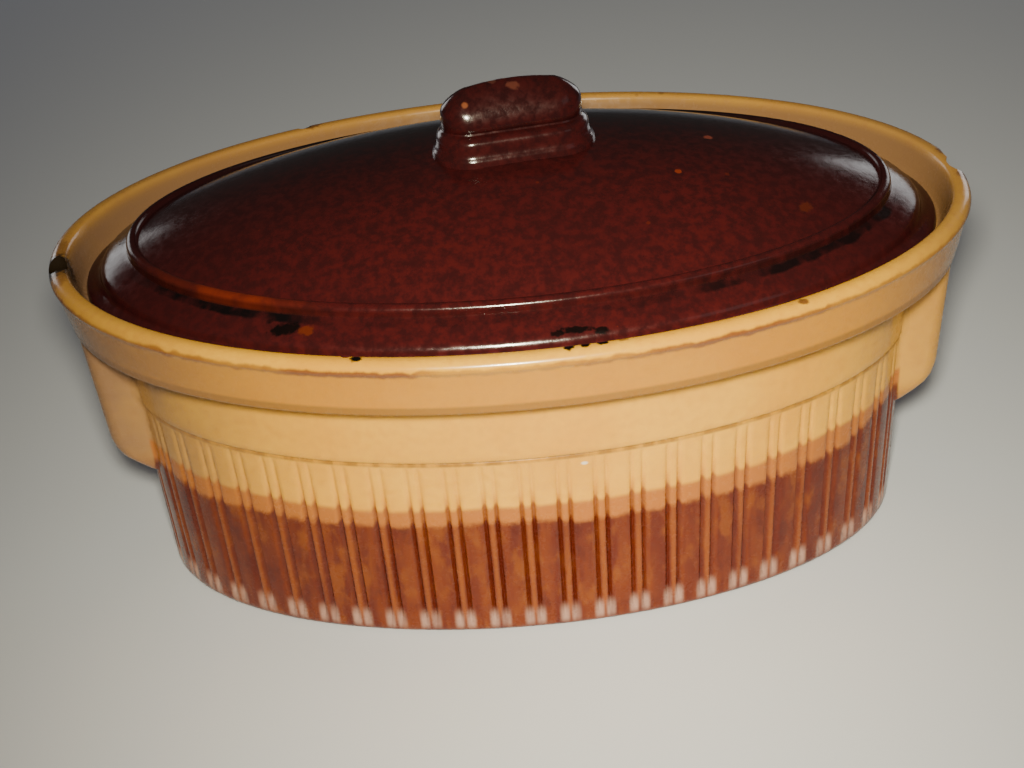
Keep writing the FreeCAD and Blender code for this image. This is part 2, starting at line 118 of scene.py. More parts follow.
class Tree:
    """Builds one node tree in code, for geometry or for a shader."""

    def __init__(self, tree: NodeTree) -> None:
        """Keeps the tree.

        Args:
            tree: The empty tree to build in.
        """
        self.tree = tree

    @classmethod
    def group(cls, name: str, kind: str) -> "Tree":
        """A new node group.

        Args:
            name: The group's name.
            kind: "GeometryNodeTree" or "ShaderNodeTree".

        Returns:
            The builder of the new group.
        """
        return cls(bpy.data.node_groups.new(name, kind))

    def socket(self, name: str, kind: str, default: float | tuple | None = None,
               out: bool = False) -> None:
        """Adds an input or output to the group's interface.

        Args:
            name: The socket's name.
            kind: Float, Int, Vector, Color, Object, Material or Geometry.
            default: Its default value.
            out: Whether it is an output.
        """
        item = self.tree.interface.new_socket(
            name=name, in_out="OUTPUT" if out else "INPUT", socket_type=f"NodeSocket{kind}")
        if default is not None:
            item.default_value = default

    def node(self, kind: str, inputs: dict | None = None, **settings: object) -> Node:
        """Adds a node.

        Args:
            kind: The node's type.
            inputs: Values or sockets by input name or number.
            settings: The node's own properties.

        Returns:
            The node.
        """
        item = self.tree.nodes.new(kind)
        for name, value in settings.items():
            setattr(item, name, value)
        for name, value in (inputs or {}).items():
            self.feed(item.inputs[name], value)
        return item

    def feed(self, target: NodeSocket, value: object) -> None:
        """Links a socket to an input or sets the input's value."""
        if isinstance(value, NodeSocket):
            self.tree.links.new(value, target)
        else:
            target.default_value = value

    def math(self, operation: str, *values: object, clamp: bool = False) -> NodeSocket:
        """A Math node's result.

        Args:
            operation: The node's operation.
            values: Its inputs in order.
            clamp: Whether the result is held between 0 and 1.

        Returns:
            The result socket.
        """
        item = self.node("ShaderNodeMath", operation=operation, use_clamp=clamp)
        for index, value in enumerate(values):
            self.feed(item.inputs[index], value)
        return item.outputs[0]

    def ramp(self, value: object, low: float, high: float, start: float = 0.0,
             end: float = 1.0) -> NodeSocket:
        """A smooth change from `start` at `low` to `end` at `high`, held outside them."""
        return self.node(
            "ShaderNodeMapRange",
            {"Value": value, "From Min": low, "From Max": high, "To Min": start, "To Max": end},
            interpolation_type="SMOOTHSTEP").outputs["Result"]

    def window(self, value: object, low: float, high: float, edge: float) -> NodeSocket:
        """1 between `low` and `high`, 0 outside them, with soft edges `edge` wide."""
        return self.product(self.ramp(value, low - edge, low),
                            self.ramp(value, high, high + edge, 1.0, 0.0))

    def fold(self, operation: str, values: tuple) -> NodeSocket:
        """Several values taken together by one operation, from the first on."""
        whole = values[0]
        for value in values[1:]:
            whole = self.math(operation, whole, value)
        return whole

    def total(self, *values: object) -> NodeSocket:
        """The sum of several values."""
        return self.fold("ADD", values)

    def product(self, *values: object) -> NodeSocket:
        """The product of several values."""
        return self.fold("MULTIPLY", values)

    def less(self, value: object, amount: object) -> NodeSocket:
        """A value less an amount."""
        return self.math("SUBTRACT", value, amount)

    def swing(self, mask: NodeSocket, amount: object) -> NodeSocket:
        """A mask about its middle, from half the amount below 0 to half of it above."""
        return self.product(self.less(mask, 0.5), amount)

    def length(self, across: NodeSocket, upward: NodeSocket) -> NodeSocket:
        """The length of a flat vector with these two parts."""
        return self.math("SQRT", self.total(self.product(across, across),
                                            self.product(upward, upward)))

    def split(self, vector: NodeSocket) -> NodeOutputs:
        """The three parts of a vector."""
        return self.node("ShaderNodeSeparateXYZ", {0: vector}).outputs

    def vector(self, x: object, y: object, z: object) -> NodeSocket:
        """The vector with these three parts."""
        return self.node("ShaderNodeCombineXYZ", {0: x, 1: y, 2: z}).outputs[0]

    def stretched(self, place: NodeSocket, height: float) -> NodeSocket:
        """Coordinates in which heights count less, for a pattern that runs down the ware."""
        return self.node("ShaderNodeMapping", {
            "Vector": place, "Scale": (1.0, 1.0, height)}).outputs[0]

    def noise(self, place: NodeSocket, scale: float, detail: float,
              roughness: float = 0.5) -> NodeSocket:
        """A cloudy mask from 0 to 1."""
        return self.node("ShaderNodeTexNoise", {
            "Vector": place, "Scale": scale, "Detail": detail, "Roughness": roughness}).outputs[0]

    def effect(self, group: NodeTree, inputs: dict) -> NodeOutputs:
        """The results of a shared effect that is given its own values."""
        return self.node("ShaderNodeGroup", inputs, node_tree=group).outputs

    def named(self, name: str) -> NodeSocket:
        """A number stored on the mesh, for a shader."""
        return self.node("ShaderNodeAttribute", attribute_name=name).outputs["Fac"]

    def mix(self, factor: object, first: object, second: object) -> NodeSocket:
        """The mix of two colours, each a socket or three numbers."""
        item = self.node("ShaderNodeMix", data_type="RGBA")
        for index, value in ((0, factor), (6, first), (7, second)):
            self.feed(item.inputs[index], (*value, 1.0) if isinstance(value, tuple) else value)
        return item.outputs[2]

    def layers(self, colour: object, *over: tuple) -> NodeSocket:
        """A colour with others laid over it in order, each one a mask and its colour."""
        for mask, paint in over:
            colour = self.mix(mask, colour, paint)
        return colour


# The swept oval wares


class OvalSweep:
    """The Geometry Nodes tree that sweeps a section round the oval of the ware.

    The columns are spaced along the oval of the foot, in steps that repeat with the flutes, so
    that the grooves are evenly spaced there and spread with the wall above it.
    """

    SIZES = ("Half length", "Half width", "Foot half length", "Foot half width", "Flute shift",
             "Groove depth", "Groove spacing", "Groove width", "Unevenness", "Seed")

    def __init__(self) -> None:
        """Builds the tree."""
        self.builder = Tree.group("oval_sweep", "GeometryNodeTree")
        self._build()

    def _build(self) -> None:
        """Fills the tree, from its inputs to the finished mesh."""
        t = self.builder
        t.socket("Geometry", "Geometry", out=True)
        for name in ("Section", "Steps"):
            t.socket(name, "Object")
        for name in ("Rows", "Flutes", "Steps in a flute"):
            t.socket(name, "Int", 10)
        for name in self.SIZES:
            t.socket(name, "Float", 0.0)
        t.socket("Glaze", "Material")
        given = t.node("NodeGroupInput").outputs
        rows, steps = given["Rows"], given["Steps in a flute"]
        columns = t.product(given["Flutes"], steps)
        grid = t.node("GeometryNodeMeshGrid", {
            "Vertices X": t.total(columns, 1.0), "Vertices Y": rows})
        index = t.node("GeometryNodeInputIndex").outputs[0]
        column, row = self._divided(index, rows)
        flute, step = self._divided(t.math("FLOORED_MODULO", column, columns), steps)
        along = t.split(self._sample(given["Steps"], step))[0]
        angle_cos, angle_sin = self._direction(given, flute, along)
        section = t.split(self._sample(given["Section"], row))
        share = self._sample(given["Section"], row, "share")
        hollow, bead, pair = self._grooves(given, along, self._sample(
            given["Section"], row, "groove"))
        wobble = t.node("ShaderNodeTexNoise", {
            "Vector": t.vector(t.product(angle_cos, 1.6), angle_sin, t.product(section[2], 14.0)),
            "W": given["Seed"], "Scale": 1.7, "Detail": 1.0}, noise_dimensions="4D")
        inset = t.total(section[0], t.total(
            t.product(hollow, given["Groove depth"]),
            t.product(wobble.outputs[0], given["Unevenness"])))
        place = t.vector(
            t.product(t.less(given["Half length"], inset), share, angle_cos),
            t.product(t.less(given["Half width"], inset), share, angle_sin), section[2])
        whole = t.node("GeometryNodeSetPosition", {
            "Geometry": grid.outputs["Mesh"], "Position": place}).outputs[0]
        for name, value in (("groove", hollow), ("bead", bead), ("pair", pair),
                            ("inset", section[0])):
            whole = t.node("GeometryNodeStoreNamedAttribute", {
                "Geometry": whole, "Name": name, "Value": value},
                data_type="FLOAT", domain="POINT").outputs[0]
        for kind, inputs in (("GeometryNodeMergeByDistance", {"Distance": 2e-6}),
                             ("GeometryNodeSetShadeSmooth", {}),
                             ("GeometryNodeRealizeInstances", {}),
                             ("GeometryNodeSetMaterial", {"Material": given["Glaze"]})):
            whole = t.node(kind, {"Geometry": whole, **inputs}).outputs[0]
        t.node("NodeGroupOutput", {"Geometry": whole})

    def _divided(self, value: NodeSocket, count: NodeSocket) -> tuple[NodeSocket, NodeSocket]:
        """How many times `count` goes into a whole number, and what is left over."""
        t = self.builder
        times = t.math("FLOOR", t.math("DIVIDE", t.total(value, 0.5), count))
        return times, t.less(value, t.product(times, count))

    def _grooves(self, given: NodeOutputs, along: NodeSocket,
                 groove: NodeSocket) -> tuple[NodeSocket, NodeSocket, NodeSocket]:
        """How deep in a groove each point lies, how high on the bead, and how near the pair.

        Args:
            given: The group's inputs.
            along: How far the column lies from the flute's middle, in metres.
            groove: How much of the grooves' depth the row takes.

        Returns:
            The three sockets, each from 0 to 1.
        """
        t = self.builder
        spacing, width = given["Groove spacing"], given["Groove width"]
        aside = t.math("ABSOLUTE", along)
        off = t.math("ABSOLUTE", t.less(aside, t.product(spacing, 0.5)))
        hollow = t.ramp(t.math("DIVIDE", off, t.product(width, 0.5)), 0.0, 1.0, 1.0, 0.0)
        bead = t.ramp(aside, t.product(spacing, 0.05), t.product(spacing, 0.33), 1.0, 0.0)
        pair = t.ramp(t.math("DIVIDE", off, t.product(width, 0.86)), 0.35, 1.0, 1.0, 0.0)
        return t.product(hollow, groove), t.product(groove, bead), pair

    def _sample(self, item: NodeSocket, index: NodeSocket, name: str = "") -> NodeSocket:
        """The place of an object's point, or one of its named values."""
        t = self.builder
        info = t.node("GeometryNodeObjectInfo", {"Object": item}, transform_space="ORIGINAL")
        if name:
            value = t.node("GeometryNodeInputNamedAttribute", {"Name": name}, data_type="FLOAT")
        else:
            value = t.node("GeometryNodeInputPosition")
        return t.node("GeometryNodeSampleIndex", {
            "Geometry": info.outputs["Geometry"], "Value": value.outputs[0], "Index": index},
            data_type="FLOAT" if name else "FLOAT_VECTOR", domain="POINT").outputs[0]

    def _direction(self, given: NodeOutputs, flute: NodeSocket,
                   along: NodeSocket) -> tuple[NodeSocket, NodeSocket]:
        """The cosine and sine of a column's angle round the oval.

        Args:
            given: The group's inputs.
            flute: Which flute the column is in.
            along: How far it lies from the flute's middle, in metres.

        Returns:
            The two sockets.
        """
        t = self.builder
        half_length, half_width = given["Foot half length"], given["Foot half width"]
        circle = t.node("GeometryNodeCurvePrimitiveCircle", {"Resolution": 2880, "Radius": 1.0})
        oval = t.node("GeometryNodeTransform", {
            "Geometry": circle.outputs[0],
            "Scale": t.vector(half_length, half_width, 1.0)}).outputs[0]
        length = t.node("GeometryNodeCurveLength", {0: oval}).outputs[0]
        start = t.total(t.product(length, 0.75), given["Flute shift"])
        share = t.math("DIVIDE", flute, given["Flutes"])
        reached = t.total(start, t.total(along, t.product(share, length)))
        spot = t.node("GeometryNodeSampleCurve", {
            "Curves": oval, "Length": t.math("FLOORED_MODULO", reached, length)}, mode="LENGTH")
        parts = t.split(spot.outputs["Position"])
        across = t.math("DIVIDE", parts[0], half_length)
        upward = t.math("DIVIDE", parts[1], half_width)
        size = t.length(across, upward)
        return t.math("DIVIDE", across, size), t.math("DIVIDE", upward, size)

    def make(self, name: str, rows: list[SectionPoint], steps: list[float],
             values: dict[str, float], glaze: Material) -> Object:
        """Sweeps one section.

        Args:
            name: The new object's name.
            rows: The section, from the pole underneath to the pole on top.
            steps: The columns of one flute, in mm from the flute's middle.
            values: The tree's other inputs by name.
            glaze: The material of the mesh.

        Returns:
            The object with its plain mesh.
        """
        section = point_object("section", [(p.inset * MM, 0.0, p.height * MM) for p in rows], {
            "share": [p.share for p in rows], "groove": [p.groove for p in rows]})
        spacing = point_object("steps", [(s * MM, 0.0, 0.0) for s in steps], {})
        host = new_object(f"{name}_sweep", bpy.data.meshes.new(f"{name}_sweep"))
        modifier = host.modifiers.new("sweep", "NODES")
        modifier.node_group = self.builder.tree
        filled = {"Section": section, "Steps": spacing, "Rows": len(rows),
                  "Steps in a flute": len(steps), "Glaze": glaze, **values}
        for item in self.builder.tree.interface.items_tree:
            if item.in_out == "INPUT" and item.name in filled:
                modifier[item.identifier] = filled[item.name]
        mesh = plain_mesh(host, name)
        if mesh.materials[0] is None:
            mesh.materials.pop(index=0)
        for helper in (host, section, spacing):
            bpy.data.objects.remove(helper)
        return new_object(name, mesh)


def new_object(name: str, data: ID) -> Object:
    """Links a new object with the given data, unturned at the origin."""
    item = bpy.data.objects.new(name, data)
    bpy.context.scene.collection.objects.link(item)
    return item


def point_object(name: str, places: list[tuple], values: dict[str, list[float]]) -> Object:
    """An object of loose points with named values.

    Args:
        name: The object's name.
        places: The points, in metres.
        values: One list of numbers by name, as long as the points.

    Returns:
        The object.
    """
    mesh = bpy.data.meshes.new(name)
    mesh.from_pydata(places, [], [])
    for label, numbers in values.items():
        mesh.attributes.new(label, "FLOAT", "POINT").data.foreach_set("value", numbers)
    return new_object(name, mesh)


def plain_mesh(item: Object, name: str) -> Mesh:
    """The evaluated mesh of an object, as plain data, with the modifiers removed."""
    bpy.context.view_layer.update()
    graph = bpy.context.evaluated_depsgraph_get()
    mesh = bpy.data.meshes.new_from_object(
        item.evaluated_get(graph), preserve_all_data_layers=True, depsgraph=graph)
    mesh.name = name
    item.modifiers.clear()
    return mesh


def grid_object(name: str, points: np.ndarray, capped: bool = True) -> Object:
    """A closed shell from rows of points.

    Args:
        name: The object's name.
        points: An array of rows, each a closed ring of points in mm; the rows run so that
            ring direction times row direction points outwards.
        capped: Whether both ends are closed by fans of triangles; ends that already lie
            folded on a line aren't.

    Returns:
        The object.
    """
    rows, ring = points.shape[:2]
    mesh = bmesh.new()
    spots = [[mesh.verts.new(Vector(p) * MM) for p in row] for row in points]
    for low, high in zip(spots, spots[1:]):
        for k in range(ring):
            after = (k + 1) % ring
            mesh.faces.new((low[k], low[after], high[after], high[k]))
    for row, flip in ((spots[0], True), (spots[-1], False)) if capped else ():
        middle = mesh.verts.new(sum((v.co for v in row), Vector()) / ring)
        for k in range(ring):
            pair = (row[k], row[(k + 1) % ring])
            mesh.faces.new((*reversed(pair), middle) if flip else (*pair, middle))
    bmesh.ops.remove_doubles(mesh, verts=mesh.verts, dist=1e-6)
    for face in mesh.faces:
        face.smooth = True
    data = bpy.data.meshes.new(name)
    mesh.to_mesh(data)
    mesh.free()
    return new_object(name, data)


def combine(base: Object, tool: Object, solver: Solver,
            finish: int = 0) -> None:
    """Joins a closed mesh to another, or cuts it out of it, and removes the tool.

    Args:
        base: The object that is changed.
        tool: The closed mesh that is joined or cut out.
        solver: Which of the two.
        finish: The number of the base's material that the tool's faces take.
    """
    for material in base.data.materials:
        tool.data.materials.append(material)
    tool.data.polygons.foreach_set("material_index", [finish] * len(tool.data.polygons))
    modifier = base.modifiers.new("combine", "BOOLEAN")
    modifier.operation = solver.value
    modifier.solver = "MANIFOLD"
    modifier.object = tool
    old = base.data
    base.data = plain_mesh(base, old.name)
    bpy.data.meshes.remove(old)
    bpy.data.objects.remove(tool)


# Finishes


def effect_mottle() -> NodeTree:
    """The shared group of uneven glaze: a broad and a fine cloudy mask."""
    t = Tree.group("uneven_glaze", "ShaderNodeTree")
    t.socket("Vector", "Vector", (0.0, 0.0, 0.0))
    for name in ("Broad", "Fine"):
        t.socket(f"{name} scale", "Float", 100.0)
        t.socket(name, "Float", out=True)
    given = t.node("NodeGroupInput").outputs
    t.node("NodeGroupOutput", {
        "Broad": t.noise(given["Vector"], given["Broad scale"], 4.0, 0.55),
        "Fine": t.noise(given["Vector"], given["Fine scale"], 6.0, 0.65)})
    return t.tree


def effect_specks() -> NodeTree:
    """The shared group of specks: round spots in some cells of a Voronoi pattern."""
    t = Tree.group("specks", "ShaderNodeTree")
    t.socket("Vector", "Vector", (0.0, 0.0, 0.0))
    for name, default in (("Scale", 100.0), ("Size", 0.2), ("Share", 0.1)):
        t.socket(name, "Float", default)
    t.socket("Mask", "Float", out=True)
    given = t.node("NodeGroupInput").outputs
    bend = t.node("ShaderNodeTexNoise", {
        "Vector": given["Vector"], "Scale": t.product(given["Scale"], 2.3), "Detail": 2.0})
    warped = t.node("ShaderNodeMix", {
        0: 0.0012, 4: given["Vector"], 5: bend.outputs["Color"]}, data_type="VECTOR")
    cells = t.node("ShaderNodeTexVoronoi", {
        "Vector": warped.outputs[1], "Scale": given["Scale"], "Randomness": 1.0})
    pick = t.node("ShaderNodeSeparateColor", {0: cells.outputs["Color"]})
    chosen = t.math("LESS_THAN", pick.outputs[0], given["Share"])
    size = t.product(given["Size"], t.total(0.35, pick.outputs[1]))
    spot = t.math("SUBTRACT", 1.0, t.math("DIVIDE", cells.outputs["Distance"], size), clamp=True)
    t.node("NodeGroupOutput", {"Mask": t.product(chosen, t.ramp(spot, 0.0, 0.5))})
    return t.tree


def effect_mark() -> NodeTree:
    """The shared group of one ragged mark: a blob round a point, longer along one way."""
    t = Tree.group("mark", "ShaderNodeTree")
    for name in ("Vector", "Centre", "Size"):
        t.socket(name, "Vector", (0.0, 0.0, 0.0))
    t.socket("Ragged", "Float", 0.8)
    t.socket("Mask", "Float", out=True)
    given = t.node("NodeGroupInput").outputs
    away = t.node("ShaderNodeVectorMath", {0: given["Vector"], 1: given["Centre"]},
                  operation="SUBTRACT")
    scaled = t.node("ShaderNodeVectorMath", {0: away.outputs[0], 1: given["Size"]},
                    operation="DIVIDE")
    length = t.node("ShaderNodeVectorMath", {0: scaled.outputs[0]}, operation="LENGTH")
    noise = t.noise(given["Vector"], 900.0, 3.0)
    bent = t.total(length.outputs["Value"], t.swing(noise, given["Ragged"]))
    t.node("NodeGroupOutput", {"Mask": t.ramp(bent, 0.6, 1.1, 1.0, 0.0)})
    return t.tree


@dataclass(frozen=True)
class Effects:
    """The shader groups that the finishes share.

    Attributes:
        mottle: Uneven glaze.
        specks: Round specks.
        mark: One ragged mark.
    """

    mottle: NodeTree
    specks: NodeTree
    mark: NodeTree


@dataclass(frozen=True)
class Mark:
    """One mark of wear or firing.

    Attributes:
        centre: Where it lies, in mm.
        size: Its half sizes along the axes, in mm.
        colour: Its colour.
        strength: How much of the glaze it covers.
        ragged: How uneven its outline is.
    """

    centre: tuple
    size: tuple
    colour: tuple
    strength: float = 0.9
    ragged: float = 0.8


@dataclass(frozen=True)
class Finish:
    """What every finish has: a name, its roughness and reflections, a coat and its marks.

    Attributes:
        name: The material's name.
        roughness: The shader's own roughness where nothing changes it.
        coat: Weight of the glassy coat.
        coat_roughness: Roughness of that coat.
        specular: How strongly the body itself reflects.
        marks: The marks of wear and firing, in order.
    """

    name: str
    roughness: float
    coat: float
    coat_roughness: float = 0.10
    specular: float = 0.3
    marks: tuple = ()

    def start(self) -> tuple[Material, Tree, Node, NodeSocket]:
        """A new material with its tree builder, its shader node and the object coordinates."""
        material = bpy.data.materials.new(self.name)
        material.use_nodes = True
        shader = material.node_tree.nodes["Principled BSDF"]
        shader.inputs["Roughness"].default_value = self.roughness
        shader.inputs["Coat Weight"].default_value = self.coat
        shader.inputs["Coat Roughness"].default_value = self.coat_roughness
        shader.inputs["Specular IOR Level"].default_value = self.specular
        t = Tree(material.node_tree)
        return material, t, shader, t.node("ShaderNodeTexCoord").outputs["Object"]

    def marked(self, t: Tree, group: NodeTree, place: NodeSocket,
               colour: NodeSocket) -> NodeSocket:
        """Lays the marks over a colour.

        Args:
            t: The material's builder.
            group: The shared group of one mark.
            place: The object coordinates.
            colour: The colour underneath.

        Returns:
            The colour with the marks.
        """
        for mark in self.marks:
            mask = t.effect(group, {
                "Vector": place, "Centre": tuple(v * MM for v in mark.centre),
                "Size": tuple(v * MM for v in mark.size), "Ragged": mark.ragged})[0]
            colour = t.mix(t.product(mask, mark.strength), colour, mark.colour)
        return colour


BROWN_STAIN = (0.16, 0.055, 0.02)
NEAR_BLACK = (0.0035, 0.0026, 0.0024)


@dataclass(frozen=True)
class DishGlaze(Finish):
    """Cream glaze above, red-brown glaze below, and a warm strip where they overlap."""

    cream: tuple = (0.90, 0.450, 0.030)
    cream_shade: tuple = (0.81, 0.370, 0.020)
    cream_deep: tuple = (0.72, 0.31, 0.018)
    olive: tuple = (0.58, 0.22, 0.009)
    # tan: colour of the painted shade on the rim's inner wall
    tan: tuple = (0.26, 0.130, 0.055)
    # Tan for painted shade towards the left end, the back and the right end, and for brown staining
    # at the left end.
    shade_and_stain_tan: tuple = (0.26, 0.145, 0.090)
    worn_edge: tuple = (0.24, 0.075, 0.022)
    line: tuple = (0.30, 0.130, 0.020)
    groove_tan: tuple = (0.36, 0.110, 0.012)
    overlap: tuple = (0.44, 0.140, 0.020)
    brown: tuple = (0.105, 0.0105, 0.0004)
    brown_light: tuple = (0.160, 0.0250, 0.0007)
    amber: tuple = (0.215, 0.0480, 0.0015)
    pooled: tuple = (0.072, 0.0055, 0.0010)
    bead_tan: tuple = (0.255, 0.058, 0.005)
    # Pale colour for the groove run-outs: painted highlights, partly pale thin glaze.
    milky_glaze_glint: tuple = (0.44, 0.26, 0.20)
    marks: tuple = (
        Mark((69.4, -62.2, 97.9), (1.6, 1.3, 1.2), BROWN_STAIN),
        Mark((-42.6, -70.0, 98.0), (1.7, 1.5, 1.8), NEAR_BLACK, 1.0),
        Mark((9.5, -74.0, 98.0), (1.5, 1.7, 1.8), NEAR_BLACK, 1.0),
        Mark((13.6, -73.6, 98.0), (1.3, 1.4, 1.8), NEAR_BLACK, 1.0),
        Mark((17.8, -73.2, 98.0), (1.9, 1.3, 1.8), NEAR_BLACK, 1.0),
        Mark((23.0, -72.8, 98.0), (1.5, 0.7, 1.2), BROWN_STAIN, 0.7),
        # A pale dot on the wall: a painted highlight.
        Mark((12.5, -60.6, 54.6), (1.3, 1.5, 0.7), (0.85, 0.78, 0.68), 0.8, 0.3),
        Mark((-122.0, 3.0, 97.6), (3.0, 6.0, 2.2), BROWN_STAIN, 0.5),
        Mark((-121.0, -13.0, 97.6), (3.0, 5.5, 2.2), BROWN_STAIN, 0.5),
        # A near-black patch over the notch at the rim's left end.
        Mark((-122.0, -5.6, 96.0), (7.0, 7.2, 6.0), NEAR_BLACK, 0.95),
        Mark((-53.9, 68.8, 98.0), (3.2, 3.2, 1.6), BROWN_STAIN, 0.8),
        Mark((-27.5, 75.6, 97.0), (2.4, 2.2, 1.6), NEAR_BLACK, 0.8),
        Mark((122.0, 14.5, 97.4), (3.0, 3.0, 2.0), BROWN_STAIN, 0.8),
        Mark((123.6, -1.0, 97.0), (2.6, 3.2, 2.0), BROWN_STAIN, 0.7),
    )

    def build(self, effects: Effects) -> Material:
        """The material.

        Args:
            effects: The shared shader groups.

        Returns:
            The finished material.
        """
        material, t, shader, place = self.start()
        x, y, z = t.split(place)
        broad, fine = t.effect(effects.mottle, {
            "Vector": place, "Broad scale": 26.0, "Fine scale": 420.0})
        groove, bead, inset = t.named("groove"), t.named("bead"), t.named("inset")
        streak = t.noise(t.stretched(place, 0.07), 330.0, 3.0)
        patch = t.noise(t.stretched(place, 0.45), 170.0, 4.0, 0.6)
        cream = self._cream(t, (x, y, z), broad, fine, streak, groove, inset)
        brown = t.layers(
            self.brown,
            (t.ramp(streak, 0.36, 0.66), self.brown_light),
            (t.ramp(patch, 0.50, 0.66, 0.0, 0.8), self.amber),
            (t.ramp(patch, 0.34, 0.46, 0.65, 0.0), self.pooled),
            (t.product(groove, 0.75), self.pooled),
            (t.product(bead, t.ramp(streak, 0.3, 0.55, 0.4, 0.9)), self.bead_tan))
        strip = t.mix(t.product(groove, 0.6), self.overlap, self.pooled)
        wavy = t.total(z, t.swing(broad, 0.004), t.product(groove, -0.0012),
                       t.ramp(inset, 0.0239, 0.0243, 0.0, 0.1))
        under = t.total(t.swing(fine, 0.0028), t.less(wavy, self._brown_start(t, x)))
        over = t.less(wavy, self._cream_end(t, x))
        wall = t.layers(brown, (t.ramp(under, -0.0012, 0.0012), strip),
                        (t.ramp(over, -0.0010, 0.0010), cream))
        lug = t.mix(t.ramp(z, 0.034, 0.044, 0.55, 0.0), cream, self.overlap)
        # Pale patches where the grooves run out at the foot: painted highlights of the groove ends,
        # partly pale thin glaze there.
        ends = t.product(
            t.math("MAXIMUM", t.ramp(groove, 0.02, 0.45), t.product(t.named("pair"), 0.95)),
            t.ramp(z, 0.0006, 0.0034), t.ramp(z, 0.0048, 0.0092, 1.0, 0.0),
            t.ramp(streak, 0.25, 0.6, 0.45, 1.0), t.ramp(inset, 0.0225, 0.0235, 1.0, 0.0))
        speck = t.effect(effects.specks, {
            "Vector": place, "Scale": 140.0, "Size": 0.16, "Share": 0.05})[0]
        colour = t.layers(
            t.mix(self._wall(t, (x, y, z)), lug, wall),
            (t.product(ends, 0.85), self.milky_glaze_glint), (t.product(speck, 0.45), BROWN_STAIN))
        t.feed(shader.inputs["Base Color"], self.marked(t, effects.mark, place, colour))
        t.feed(shader.inputs["Roughness"], t.ramp(fine, 0.3, 0.7, 0.18, 0.32))
        bump = t.node("ShaderNodeBump", {"Height": broad, "Strength": 0.35, "Distance": 0.0006})
        t.feed(shader.inputs["Normal"], bump.outputs[0])
        return material

    def _cream_end(self, t: Tree, x: NodeSocket) -> NodeSocket:
        """The height where the cream glaze ends, higher towards the ends of the dish."""
        aside = t.math("ABSOLUTE", x)
        return t.total(t.ramp(aside, 0.045, 0.090, 0.0424, 0.0438),
                       t.ramp(aside, 0.088, 0.112, 0.0, 0.0034))

    def _brown_start(self, t: Tree, x: NodeSocket) -> NodeSocket:
        """The height that the brown glaze reaches."""
        return t.total(t.ramp(x, -0.105, -0.088, 0.0398, 0.0373),
                       t.ramp(x, 0.0, 0.012, 0.0, -0.0013), t.ramp(x, 0.082, 0.100, 0.0, 0.0052))

    def _wall(self, t: Tree, spot: tuple) -> NodeSocket:
        """1 on the fluted wall, 0 on the lugs that stand out of it."""
        x, y, z = spot
        wider = t.product(z, 0.073)
        out = t.length(t.math("DIVIDE", x, t.total(wider, 0.1034)),
                       t.math("DIVIDE", y, t.total(wider, 0.0564)))
        return t.math("MAXIMUM", t.ramp(out, 1.004, 1.012, 1.0, 0.0),
                      t.ramp(z, 0.0, 0.033, 1.0, 0.0))

    def _cream(self, t: Tree, spot: tuple, broad: NodeSocket, fine: NodeSocket,
               streak: NodeSocket, groove: NodeSocket, inset: NodeSocket) -> NodeSocket:
        """The cream glaze with its darker places, worn lines and painted shade.

        Args:
            t: The material's builder.
            spot: The object coordinates, one by one.
            broad: The broad cloudy mask.
            fine: The fine cloudy mask.
            streak: The mask of vertical streaks.
            groove: How deep in a groove.
            inset: How far inside the rim's outer edge.

        Returns:
            The colour.
        """
        x, y, z = spot
        collar = t.product(t.window(z, 0.0812, 0.0935, 0.0012),
                           t.ramp(inset, 0.004, 0.0055, 0.7, 0.0))
        flute_head = t.product(t.window(z, 0.0570, 0.0579, 0.0008),
                               t.ramp(streak, 0.35, 0.6, 0.45, 0.9), t.ramp(inset, 0.010, 0.014))
        # Painted shade on the rim's inner wall, in the recess down to the lid.
        gallery = t.product(t.window(inset, 0.0056, 0.0086, 0.0010), t.ramp(z, 0.086, 0.088),
                            t.ramp(x, -0.11, 0.0, 0.7, 0.8))
        # Darker towards the left end: painted shade for the light's falloff there, with some brown
        # staining.
        left_end_shade_and_stain = t.product(t.ramp(x, -0.121, -0.055, 0.95, 0.0),
                             t.ramp(broad, 0.3, 0.6, 0.7, 1.0), t.ramp(z, 0.0935, 0.0965, 1.0, 0.5))
        edge = t.total(z, t.swing(t.noise(t.vector(x, y, 0.0), 230.0, 4.0), 0.0024))
        rim_edge = t.product(t.window(edge, 0.0944, 0.0955, 0.0009),
                             t.ramp(inset, 0.001, 0.0018, 1.0, 0.0),
                             t.ramp(broad, 0.35, 0.6, 0.5, 0.95))
        return t.layers(
            self.cream,
            (t.ramp(broad, 0.35, 0.7), self.cream_shade),
            (t.ramp(fine, 0.42, 0.68, 0.0, 0.5), self.cream_deep),
            # Darker tan in the grooves of the cream: partly the glaze's own colour there, partly
            # painted shade in the grooves.
            (t.product(groove, t.ramp(z, 0.042, 0.050, 0.85, 0.08)), self.groove_tan),
            (collar, self.olive),
            (flute_head, self.line),
            # A dark band round the collar's lower edge: partly thin glaze there, partly painted
            # shade under the collar's overhang.
            (t.product(t.window(z, 0.0795, 0.0830, 0.0012), 0.85), self.line),
            # painted shade on the rim's inner wall
            (gallery, self.tan),
            (left_end_shade_and_stain, self.shade_and_stain_tan),
            # Darker towards the back and the right end: painted shade for the light's falloff.
            (t.ramp(y, -0.01, 0.055, 0.0, 0.5), self.shade_and_stain_tan),
            (t.ramp(x, 0.075, 0.122, 0.0, 0.5), self.shade_and_stain_tan),
            (rim_edge, self.worn_edge))


